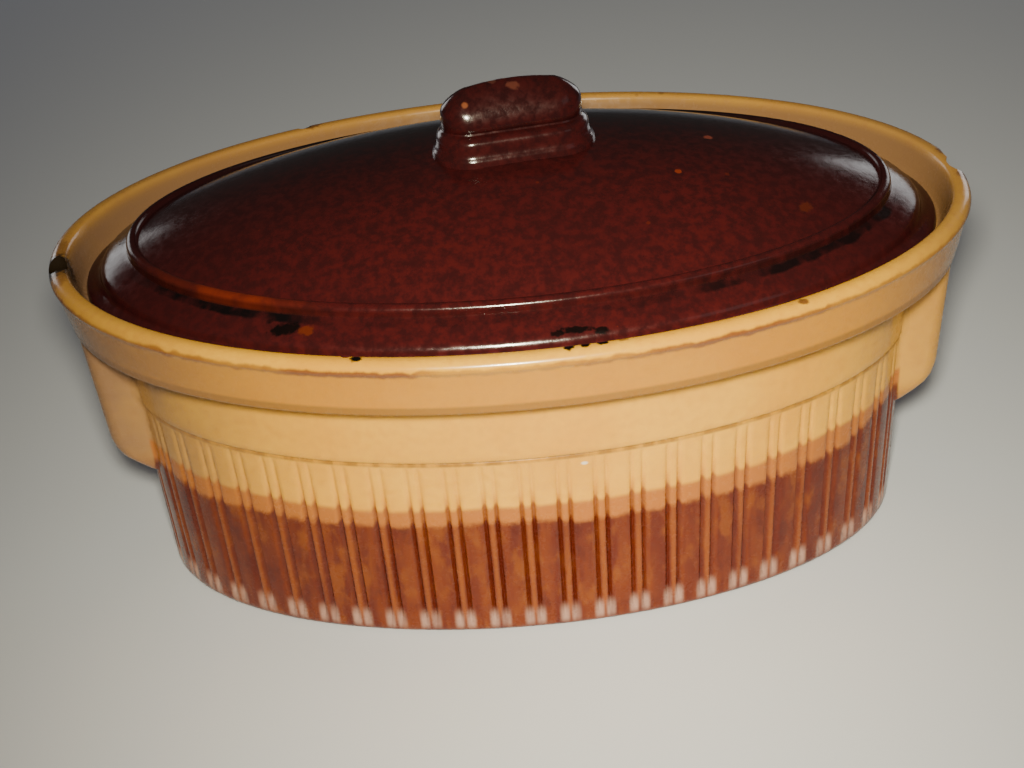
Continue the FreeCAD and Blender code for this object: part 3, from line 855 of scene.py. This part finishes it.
@dataclass(frozen=True)
class LidGlaze(Finish):
    """Mottled red-brown glaze, worn along the raised ring, with painted shade that darkens it
    towards the ends and to near black towards the back.
    """

    red: tuple = (0.071, 0.0084, 0.0085)
    dark: tuple = (0.036, 0.0066, 0.0074)
    black: tuple = (0.005, 0.0034, 0.0038)
    worn: tuple = (0.17, 0.021, 0.007)
    marks: tuple = (
        Mark((-60.4, -50.1, 96.9), (4.6, 2.0, 2.2), NEAR_BLACK, 0.95, 1.0),
        Mark((-64.4, -47.2, 98.4), (1.4, 1.2, 1.0), NEAR_BLACK, 0.9),
        Mark((-55.0, -51.9, 97.0), (2.2, 1.6, 1.8), (0.13, 0.022, 0.006), 0.8, 1.2),
        Mark((12.0, -61.9, 95.6), (4.6, 1.0, 1.4), NEAR_BLACK, 0.95, 1.2),
        Mark((18.6, -62.2, 94.9), (2.6, 1.0, 1.2), NEAR_BLACK, 0.95, 1.2),
        Mark((7.6, -62.5, 95.2), (2.0, 0.8, 1.0), NEAR_BLACK, 0.9, 1.2),
        Mark((76.4, -25.5, 104.9), (2.4, 2.4, 0.9), (0.10, 0.018, 0.008), 0.7, 1.0),
        Mark((54.8, 2.4, 114.2), (1.5, 1.3, 1.0), (0.26, 0.055, 0.035), 0.9),
        Mark((44.3, -16.6, 114.3), (1.0, 1.0, 1.0), (0.24, 0.035, 0.010), 0.9),
        Mark((-2.2, -0.6, 137.2), (1.3, 1.1, 2.0), (0.12, 0.040, 0.028), 0.5, 1.2),
        Mark((1.0, 0.6, 137.5), (1.5, 1.0, 2.0), (0.13, 0.045, 0.030), 0.5, 1.2),
        Mark((3.4, -2.2, 136.9), (2.0, 1.1, 2.0), (0.17, 0.050, 0.032), 0.55, 1.2),
        Mark((-9.7, -5.9, 133.6), (1.1, 1.3, 1.0), (0.30, 0.09, 0.035), 0.8, 0.5),
    )

    def build(self, effects: Effects) -> Material:
        """The material.

        Args:
            effects: The shared shader groups.

        Returns:
            The finished material.
        """
        material, t, shader, place = self.start()
        x, y, _ = t.split(place)
        broad, fine = t.effect(effects.mottle, {
            "Vector": place, "Broad scale": 30.0, "Fine scale": 380.0})
        aside = t.math("ABSOLUTE", x)
        colour = t.layers(
            self.dark,
            (t.ramp(fine, 0.36, 0.66), self.red),
            (t.product(t.ramp(broad, 0.45, 0.7), 0.25), self.dark),
            # Near black towards the back and darker towards both ends: painted shade for the
            # light's falloff.
            (t.ramp(y, -0.030, 0.034, 0.0, 0.95), self.black),
            (t.ramp(aside, 0.045, 0.100, 0.0, 0.6), self.dark))
        speck = t.effect(effects.specks, {
            "Vector": place, "Scale": 260.0, "Size": 0.16, "Share": 0.05})[0]
        colour = t.mix(t.product(speck, 0.35), self._ring(t, x, y, colour), self.worn)
        t.feed(shader.inputs["Base Color"], self.marked(t, effects.mark, place, colour))
        t.feed(shader.inputs["Roughness"], t.ramp(fine, 0.3, 0.7, 0.11, 0.24))
        t.feed(shader.inputs["Coat Weight"], t.ramp(aside, 0.06, 0.10, self.coat, 0.03))
        bump = t.node("ShaderNodeBump", {"Height": fine, "Strength": 0.22, "Distance": 0.0003})
        t.feed(shader.inputs["Normal"], bump.outputs[0])
        return material

    def _ring(self, t: Tree, x: NodeSocket, y: NodeSocket, colour: NodeSocket) -> NodeSocket:
        """Lays the worn crest of the raised ring and the dark pools beside it over a colour."""
        inset = t.named("inset")
        broken = t.noise(t.vector(x, y, 0.0), 110.0, 5.0)
        front = t.ramp(y, -0.018, -0.008, 1.0, 0.0)
        left = t.window(x, -0.092, -0.060, 0.014)
        shift = t.total(inset, t.swing(broken, 0.0030))
        beside = t.total(t.window(shift, 0.0196, 0.0212, 0.0009),
                         t.window(inset, 0.0239, 0.0246, 0.0003))
        dashed = t.math("MAXIMUM", left, t.ramp(x, 0.020, 0.060, 0.25, 0.9))
        crest = t.product(t.window(inset, 0.0219, 0.0236, 0.0008), front)
        strength = t.total(t.product(left, 0.3),
                           t.product(t.window(x, -0.080, -0.067, 0.006), 0.65))
        return t.layers(
            colour,
            (t.product(beside, front, dashed, t.ramp(broken, 0.36, 0.56, 0.2, 1.0)), self.black),
            (t.product(crest, t.ramp(broken, 0.36, 0.56, 0.25, 1.0), strength), self.worn))


@dataclass(frozen=True)
class BareClay(Finish):
    """The matt broken body of the ware, in the rim's chips."""

    clay: tuple = (0.50, 0.27, 0.10)
    stain: tuple = (0.22, 0.09, 0.035)
    near_black_clay: tuple = (0.0050, 0.0036, 0.0030)

    def build(self, effects: Effects) -> Material:
        """The material.

        Args:
            effects: The shared shader groups.

        Returns:
            The finished material.
        """
        material, t, shader, place = self.start()
        x, _, z = t.split(place)
        broad, fine = t.effect(effects.mottle, {
            "Vector": place, "Broad scale": 90.0, "Fine scale": 900.0})
        t.feed(shader.inputs["Base Color"], t.layers(
            self.clay,
            (t.ramp(broad, 0.4, 0.65), self.stain),
            (t.ramp(z, 0.0925, 0.0965, 0.7, 0.0), self.stain),
            # Chips towards the left end are near black.
            (t.ramp(x, -0.06, -0.02, 0.97, 0.0), self.near_black_clay)))
        t.feed(shader.inputs["Roughness"], t.ramp(fine, 0.3, 0.7, 0.6, 0.85))
        bump = t.node("ShaderNodeBump", {"Height": fine, "Strength": 0.5, "Distance": 0.0004})
        t.feed(shader.inputs["Normal"], bump.outputs[0])
        return material


# Sub-assemblies


@dataclass(frozen=True)
class Oval:
    """The rim's outer edge in plan, and the height of its top, in mm."""

    half_length: float = 125.0
    half_width: float = 78.0
    height: float = 98.0

    def inputs(self) -> dict[str, float]:
        """What a sweep round this oval is given."""
        return {"Half length": self.half_length * MM, "Half width": self.half_width * MM}


@dataclass
class Dish:
    """The oval dish: foot, fluted wall, band, collar, gallery, rim and the two lugs."""

    oval: Oval = field(default_factory=Oval)
    collar_z: float = 81.9
    band_z: float = 57.5
    collar_inset: float = 3.6
    flute_inset: float = 17.4
    foot_inset: float = 21.6
    foot_round: float = 2.2
    foot_length: float = 513.0
    floor_z: float = 6.5
    unevenness: float = 0.25
    flutes: int = 54
    flute_shift: float = -3.0
    groove_spacing: float = 3.0
    groove_width: float = 1.9
    groove_depth: float = 0.9
    groove_steps: tuple = (0.42, 0.75, 1.0, 1.25, 1.5, 1.75, 2.0, 2.3, 3.2)
    lug_half_width: float = 15.0
    lug_root: float = 82.0
    lug_face: float = 119.2
    lug_foot_z: float = 34.4
    lug_lean: float = 6.5
    lug_round: float = 15.0
    lug_corner: float = 4.0
    lug_flare: float = 5.0
    chips: tuple = ((8.2, 14.0, 11.4, -1.0), (4.7, 6.0, 2.0, -1.0), (184.0, 4.4, -2.4, 1.6),
                    (117.0, 2.4, -1.4, 0.9), (103.0, 1.3, -0.7, -0.7), (248.0, 1.4, -4.9, -0.1))

    def wall_inset(self, height: float) -> float:
        """The inset of the fluted wall at a height."""
        return self.foot_inset - (self.foot_inset - self.flute_inset) * height / self.band_z

    def outside(self) -> list[SectionPoint]:
        """The section from the middle of the underside up to the rim's outer edge."""
        rows = [SectionPoint(self.foot_inset + self.foot_round, 0.0, share)
                for share in (0.0, 0.5, 0.93)]
        for turn in map(math.radians, (-90, -62, -35, -10)):
            z = self.foot_round * (1 + math.sin(turn))
            rows.append(SectionPoint(
                self.wall_inset(z) + self.foot_round * (1 - math.cos(turn)), z))
        for z in (2.9, 3.7, 4.5, 5.4, 6.3, 7.4, 10.0, 15.0, 21.0, 28.0, 35.0, 42.0, 49.0, 54.4,
                  55.6, 56.3, 56.9):
            depth = smooth(z, 1.8, 7.4) * smooth(-z, -57.2, -54.6)
            depth *= 1.0 - 0.55 * smooth(z, 41.0, 50.0)
            rows.append(SectionPoint(self.wall_inset(z), z, 1.0, depth))
        rows += trace(
            (17.46, 57.3), (17.62, 57.55), (17.3, 57.85), (17.0, 58.3), (16.85, 60.0), (16.3, 66.0),
            (15.7, 72.0), (15.2, 77.0), (14.95, 79.2), (14.4, 80.1), (13.2, 80.45), (9.0, 80.6))
        rows += arc(self.collar_inset + 1.2, self.collar_z, 1.2, -90, 12, 6)
        rows += trace((2.9, 84.8), (1.9, 89.0), (0.85, 93.2), (0.5, 94.3), (0.2, 94.75))
        return rows

    def inside(self) -> list[SectionPoint]:
        """The section over the rim and down the inside to the middle of the floor."""
        rows = arc(2.9, 95.1, 2.9, 0, 90, 9)
        rows += trace(
            (3.7, 98.0), (4.25, 97.88), (4.7, 97.5), (5.05, 96.7), (5.9, 94.2), (7.0, 91.2),
            (7.8, 88.9), (8.4, 88.2), (9.2, 88.0), (12.5, 88.0), (15.6, 88.0), (16.4, 87.8),
            (17.0, 87.1), (20.0, 82.4), (20.7, 80.6), (21.5, 72.0), (22.9, 57.5), (24.5, 42.0),
            (26.1, 27.0))
        rows += arc(38.1, 17.5, 11.0, 0, -90, 8)
        rows += [SectionPoint(38.1, self.floor_z, share) for share in (0.75, 0.4, 0.0)]
        return rows

    def body(self, sweep: OvalSweep, glaze: Material) -> Object:
        """The swept ware without lugs and chips."""
        pitch = self.foot_length / self.flutes
        steps = [-pitch / 2, *(-s for s in reversed(self.groove_steps)), 0.0, *self.groove_steps]
        return sweep.make("dish_ware", self.outside() + self.inside(), steps, {
            **self.oval.inputs(), "Flutes": self.flutes,
            "Foot half length": (self.oval.half_length - self.foot_inset) * MM,
            "Foot half width": (self.oval.half_width - self.foot_inset) * MM,
            "Flute shift": self.flute_shift * MM, "Groove depth": self.groove_depth * MM,
            "Groove spacing": self.groove_spacing * MM, "Groove width": self.groove_width * MM,
            "Unevenness": self.unevenness * MM, "Seed": 3.0}, glaze)

    def lug(self, side: int) -> Object:
        """One solid lug, with rounded corners and flares that run into the wall.

        Args:
            side: 1 for the right end, -1 for the left.

        Returns:
            The closed mesh.
        """
        lean = math.radians(self.lug_lean)
        head = self.collar_z + 0.5
        bend_z = self.lug_foot_z + self.lug_round * (1 - math.sin(lean))
        bend_x = self.lug_face - (head - bend_z) * math.tan(lean)
        centre_x = bend_x - self.lug_round * math.cos(lean)
        centre_z = self.lug_foot_z + self.lug_round
        levels = [centre_z + self.lug_round * math.sin(math.radians(d)) for d in
                  (-90, -84, -76, -67, -57, -46, -35, -24, -12)]
        levels += list(np.linspace(bend_z, head, 9))
        rows = []
        for z in levels:
            if z < bend_z:
                drop = (centre_z - z) / self.lug_round
                face = centre_x + self.lug_round * math.sqrt(max(0.0, 1 - drop * drop))
            else:
                face = bend_x + (z - bend_z) * math.tan(lean)
            rows.append(self.lug_slice(z, face))
        points = np.array(rows)
        if side < 0:
            points[:, :, 0] *= -1
            points = points[:, ::-1]
        return grid_object(f"lug_{side}", points)

    def lug_slice(self, z: float, face: float) -> list[tuple[float, float, float]]:
        """The outline of the right lug at one height, counterclockwise from above."""
        soft = smooth(z, self.lug_foot_z - 1.0, self.lug_foot_z + 9.0)
        half = self.lug_half_width - 2.4 * (1 - soft) ** 2
        flare = 1.0 + (self.lug_flare - 1.0) * soft
        inset = self.wall_inset(min(z, self.band_z)) if z < self.band_z else 16.0
        wide = half + flare
        wall_x = (self.oval.half_length - inset) * math.sqrt(
            1 - (wide / (self.oval.half_width - inset)) ** 2) - 1.0
        corner = self.lug_corner + 2.0 * (1 - soft)
        corner = min(corner, max(0.5, (face - wall_x - flare) * 0.8))
        side = [(self.lug_root, -wide), (wall_x, -wide)]
        side += [(wall_x + flare * (1 - math.cos(a)), -wide + flare * math.sin(a))
                 for a in map(math.radians, (20, 40, 60, 80, 90))]
        side += [(face - corner + corner * math.sin(a), -half + corner * (1 - math.cos(a)))
                 for a in map(math.radians, (0, 18, 36, 54, 72, 90))]
        side += [(face, -half * 0.35), (face, 0.0)]
        mirror = [(x, -y) for x, y in reversed(side[:-1])]
        return [(x, y, z) for x, y in side + mirror]

    def chip(self, index: int) -> Object:
        """The scoop of one chip, a slightly uneven ball.

        Args:
            index: Which of the chips.

        Returns:
            The closed mesh.
        """
        angle, radius, reach, rise = self.chips[index]
        turn = math.radians(angle)
        centre = np.array([(self.oval.half_length + reach) * math.cos(turn),
                           (self.oval.half_width + reach) * math.sin(turn),
                           self.oval.height + rise])
        ups = np.radians(np.linspace(-90, 90, 33))
        rounds = np.radians(np.linspace(0, 360, 65)[:-1])
        uneven = 1 + 0.03 * np.sin(3 * rounds[None, :] + 2 * ups[:, None] + index) * np.cos(
            ups[:, None])
        points = np.stack([
            centre[0] + radius * uneven * np.cos(ups)[:, None] * np.cos(rounds),
            centre[1] + radius * uneven * np.cos(ups)[:, None] * np.sin(rounds),
            centre[2] + radius * uneven * np.sin(ups)[:, None] * np.ones_like(rounds)], axis=-1)
        return grid_object(f"chip_{index}", points)

    def build(self, sweep: OvalSweep, glaze: Material,
              clay: Material) -> Object:
        """The finished dish, which replaces its CAD solid."""
        piece = self.body(sweep, glaze)
        piece.data.materials.append(clay)
        for side in (1, -1):
            combine(piece, self.lug(side), Solver.JOIN)
        for index in range(len(self.chips)):
            combine(piece, self.chip(index), Solver.CUT, finish=1)
        piece.data.set_sharp_from_angle(angle=math.radians(48))
        settle(piece, "dish")
        return piece


@dataclass
class Lid:
    """The oval lid: seat edge, shoulder, raised ring, dome and the bar-shaped grip."""

    oval: Oval = field(default_factory=Oval)
    dome_inset: float = 25.0
    dome_z: float = 101.15
    dome_rise: float = 17.8
    spread: float = 0.7
    hollow_inset: float = 27.5
    hollow_z: float = 96.15
    grip_length: float = 42.5
    grip_width: float = 20.0
    grip_height: float = 18.8
    grip_bow: float = 59.0
    grip_offset: float = 2.5
    grip_turn: float = 7.0
    crown_z: float = 11.9
    foot_half_length: float = 100.0
    foot_half_width: float = 53.0
    columns: int = 200
    unevenness: float = 0.2

    def dome(self, inset: float, height: float, angles: list[float]) -> list[SectionPoint]:
        """Rows of a dome whose edge is the oval at `inset` and `height`."""
        edge = math.acos(self.spread)
        upright = self.dome_rise / (1 - math.sin(edge))
        centre = height + self.dome_rise - upright
        return [SectionPoint(inset, centre + upright * math.sin(a), math.cos(a) / self.spread)
                for a in (edge + (math.pi / 2 - edge) * share for share in angles)]

    def section(self) -> list[SectionPoint]:
        """The section from the top of the hollow out to the edge and up over the dome."""
        shares = [1.0, 0.96, 0.88, 0.78, 0.66, 0.54, 0.42, 0.30, 0.18, 0.08, 0.0]
        rows = self.dome(self.hollow_inset, self.hollow_z, shares)
        rows += trace((24.5, 92.65), (21.0, 90.4), (17.7, 88.3), (17.2, 88.03), (16.6, 88.0),
                      (13.0, 88.0), (10.3, 88.0))
        rows += arc(10.05, 88.85, 0.85, -80, 0, 4)
        rows += trace((9.25, 89.6), (9.6, 90.4), (10.5, 90.95), (11.6, 91.25), (12.7, 91.9),
                      (13.25, 92.5))
        rows += arc(17.3, 92.1, 4.0, 8, 56, 8)
        rows += trace((15.7, 95.85), (16.8, 96.5), (18.4, 97.4), (20.1, 98.3), (20.9, 98.7),
                      (21.35, 99.0), (21.5, 99.5))
        rows += arc(23.3, 100.3, 1.8, 4, 108, 10)
        rows += trace((24.1, 101.5), (24.5, 101.2), (24.8, 101.1))
        rows += self.dome(self.dome_inset, self.dome_z, [
            0.015, 0.05, 0.1, 0.17, 0.25, 0.34, 0.44, 0.54, 0.64, 0.74, 0.84, 0.92, 0.97, 1.0])
        return rows

    def grip(self) -> Object:
        """The grip: its moulded section swept round the bar's stadium outline."""
        foot = [(0.0, -1.5), (7.0, -1.5), (10.9, -1.5), (10.7, -0.4), (10.55, 0.4), (10.35, 0.9),
                (10.0, 1.35), (9.7, 1.9), (9.5, 2.6), (9.4, 3.3), (9.3, 4.0), (9.15, 4.7),
                (8.9, 5.3), (8.5, 5.8)]
        front = foot + [(8.0, 6.15), (7.3, 6.35), (6.6, 6.6), (6.35, 7.0), (6.6, 7.4), (6.95, 7.8),
                        (7.05, 8.4), (6.9, 9.3), (6.5, 10.5), (5.95, 11.8), (5.3, 13.0),
                        (4.6, 14.1), (3.85, 15.2), (3.1, 16.2), (2.35, 17.1), (1.55, 17.9),
                        (0.75, 18.55), (0.0, 18.8)]
        end = foot + [(8.15, 6.2), (7.85, 6.5), (7.65, 6.85), (7.6, 7.15), (7.65, 7.5), (7.7, 8.0),
                      (7.75, 8.6), (7.75, 9.5), (7.7, 10.6), (7.6, 11.8), (7.35, 13.0), (6.9, 14.1),
                      (6.25, 15.2), (5.4, 16.2), (4.4, 17.1), (3.1, 17.9), (1.6, 18.5), (0.0, 18.8)]
        reach = (self.grip_length - self.grip_width) / 2
        turns = [(reach, math.radians(d)) for d in range(-90, 91, 6)]
        turns += [(reach * s, math.pi / 2) for s in (0.6, 0.2, -0.2, -0.6)]
        turns += [(-reach, math.radians(d)) for d in range(90, 271, 6)]
        turns += [(reach * s, -math.pi / 2) for s in (-0.6, -0.2, 0.2, 0.6)]
        swing = math.radians(self.grip_turn)
        rows = []
        for (narrow, z), (full, _) in zip(front, end):
            ring = []
            for along, turn in turns:
                out = narrow + (full - narrow) * math.cos(turn) ** 2
                x = along + out * math.cos(turn)
                y = out * math.sin(turn)
                drop = self.grip_bow - math.sqrt(self.grip_bow ** 2 - x * x)
                above = max(0.0, (z - self.crown_z) / (self.grip_height - self.crown_z))
                ring.append((self.grip_offset + x * math.cos(swing) - y * math.sin(swing),
                             x * math.sin(swing) + y * math.cos(swing),
                             self.dome_z + self.dome_rise + z - drop * above))
            rows.append(ring)
        return grid_object("grip", np.array(rows), capped=False)

    def build(self, sweep: OvalSweep, glaze: Material) -> Object:
        """The finished lid, which replaces its CAD solid."""
        piece = sweep.make("lid_ware", self.section(), [0.0, 1.0], {
            **self.oval.inputs(), "Flutes": self.columns,
            "Foot half length": self.foot_half_length * MM,
            "Foot half width": self.foot_half_width * MM, "Flute shift": 0.0,
            "Groove depth": 0.0, "Groove spacing": MM, "Groove width": MM,
            "Unevenness": self.unevenness * MM, "Seed": 8.0}, glaze)
        combine(piece, self.grip(), Solver.JOIN)
        piece.data.set_sharp_from_angle(angle=math.radians(32))
        settle(piece, "lid")
        return piece


def settle(piece: Object, node: str) -> None:
    """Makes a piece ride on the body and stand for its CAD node."""
    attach(piece, "root")
    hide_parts(node)
    faces = sum(len(p.vertices) - 2 for p in piece.data.polygons)
    LOG.info("%s: %d triangles", piece.name, faces)


@dataclass(frozen=True)
class Lamp:
    """One square soft light.

    Attributes:
        name: Its name.
        place: Where it stands, in metres.
        size: Its side in metres.
        power: Its power in watts.
        aim: The point it shines at, in metres.
        spread: How widely it shines, in degrees.
        colour: The colour of its light.
    """

    name: str
    place: tuple
    size: float
    power: float
    aim: tuple = (0.0, 0.0, 0.06)
    spread: float = 180.0
    colour: tuple = (1.0, 1.0, 1.0)

    def build(self) -> None:
        """Adds the light to the scene."""
        lamp = bpy.data.lights.new(self.name, "AREA")
        lamp.color = self.colour
        lamp.energy = self.power
        lamp.size = self.size
        lamp.spread = math.radians(self.spread)
        item = new_object(self.name, lamp)
        item.location = self.place
        aim = Vector(self.aim) - Vector(self.place)
        item.rotation_euler = aim.to_track_quat("-Z", "Y").to_euler()


@dataclass(frozen=True)
class Studio:
    """The pale floor, the soft lights and the camera."""

    yaw: float = 1.566
    pitch: float = 31.212
    roll: float = 4.538
    lens: float = 84.375
    eye: tuple = (-0.01881, -0.57886, 0.39501)
    lamps: tuple = (
        Lamp("key_light", (-0.02, -0.56, 0.43), 0.055, 0.64, (0.022, -0.105, 0.05), 46.0,
             (1.0, 0.94, 0.70)),
        Lamp("back_light_left", (-0.70, 0.85, 0.26), 0.4, 1.2),
        Lamp("back_light_right", (0.70, 0.85, 0.26), 0.4, 1.2),
        Lamp("fill_light", (0.9, -0.9, 0.9), 0.5, 0.22))
    air: tuple = (1.0, 0.97, 0.93, 1.0)
    air_strength: float = 0.04
    floor_half: float = 1.6
    floor_colour: tuple = (0.64, 0.66, 0.73, 1.0)
    floor_roughness: float = 0.9

    def camera(self) -> None:
        """Puts the camera where the picture was taken from."""
        yaw, pitch, roll = (math.radians(v) for v in (self.yaw, self.pitch, self.roll))
        ahead = Vector((math.sin(yaw) * math.cos(pitch), math.cos(yaw) * math.cos(pitch),
                        -math.sin(pitch)))
        right = Vector((math.cos(yaw), -math.sin(yaw), 0.0))
        up = right.cross(ahead)
        across = right * math.cos(roll) - up * math.sin(roll)
        upward = right * math.sin(roll) + up * math.cos(roll)
        turn = Matrix((across, upward, -ahead)).transposed().to_4x4()
        item = new_object("camera", bpy.data.cameras.new("camera"))
        item.data.lens = self.lens
        item.matrix_world = Matrix.Translation(self.eye) @ turn
        bpy.context.scene.camera = item

    def floor(self) -> None:
        """Lays the floor."""
        half = self.floor_half
        mesh = bpy.data.meshes.new("floor")
        mesh.from_pydata([(-half, -half, 0), (half, -half, 0), (half, half, 0), (-half, half, 0)],
                         [], [(0, 1, 2, 3)])
        material = bpy.data.materials.new("pale_floor")
        material.use_nodes = True
        shader = material.node_tree.nodes["Principled BSDF"]
        shader.inputs["Base Color"].default_value = self.floor_colour
        shader.inputs["Roughness"].default_value = self.floor_roughness
        mesh.materials.append(material)
        new_object("floor", mesh)

    def build(self) -> None:
        """Makes the camera, the lights, the world and the floor."""
        self.camera()
        for lamp in self.lamps:
            lamp.build()
        world = bpy.data.worlds.new("studio")
        world.use_nodes = True
        background = world.node_tree.nodes["Background"]
        background.inputs[0].default_value = self.air
        background.inputs[1].default_value = self.air_strength
        bpy.context.scene.world = world
        self.floor()


def main() -> None:
    """Builds the dish, the lid and the studio."""
    logging.basicConfig(level=logging.INFO, format="%(message)s")
    effects = Effects(effect_mottle(), effect_specks(), effect_mark())
    dish_glaze = DishGlaze("dish_glaze_two_tone", 0.22, 0.25).build(effects)
    lid_glaze = LidGlaze("lid_glaze_mottled", 0.22, 0.45, 0.11).build(effects)
    clay = BareClay("bare_clay", 0.75, 0.0, specular=0.08).build(effects)
    sweep = OvalSweep()
    Dish().build(sweep, dish_glaze, clay)
    Lid().build(sweep, lid_glaze)
    Studio().build()


if __name__ == "__main__":
    main()
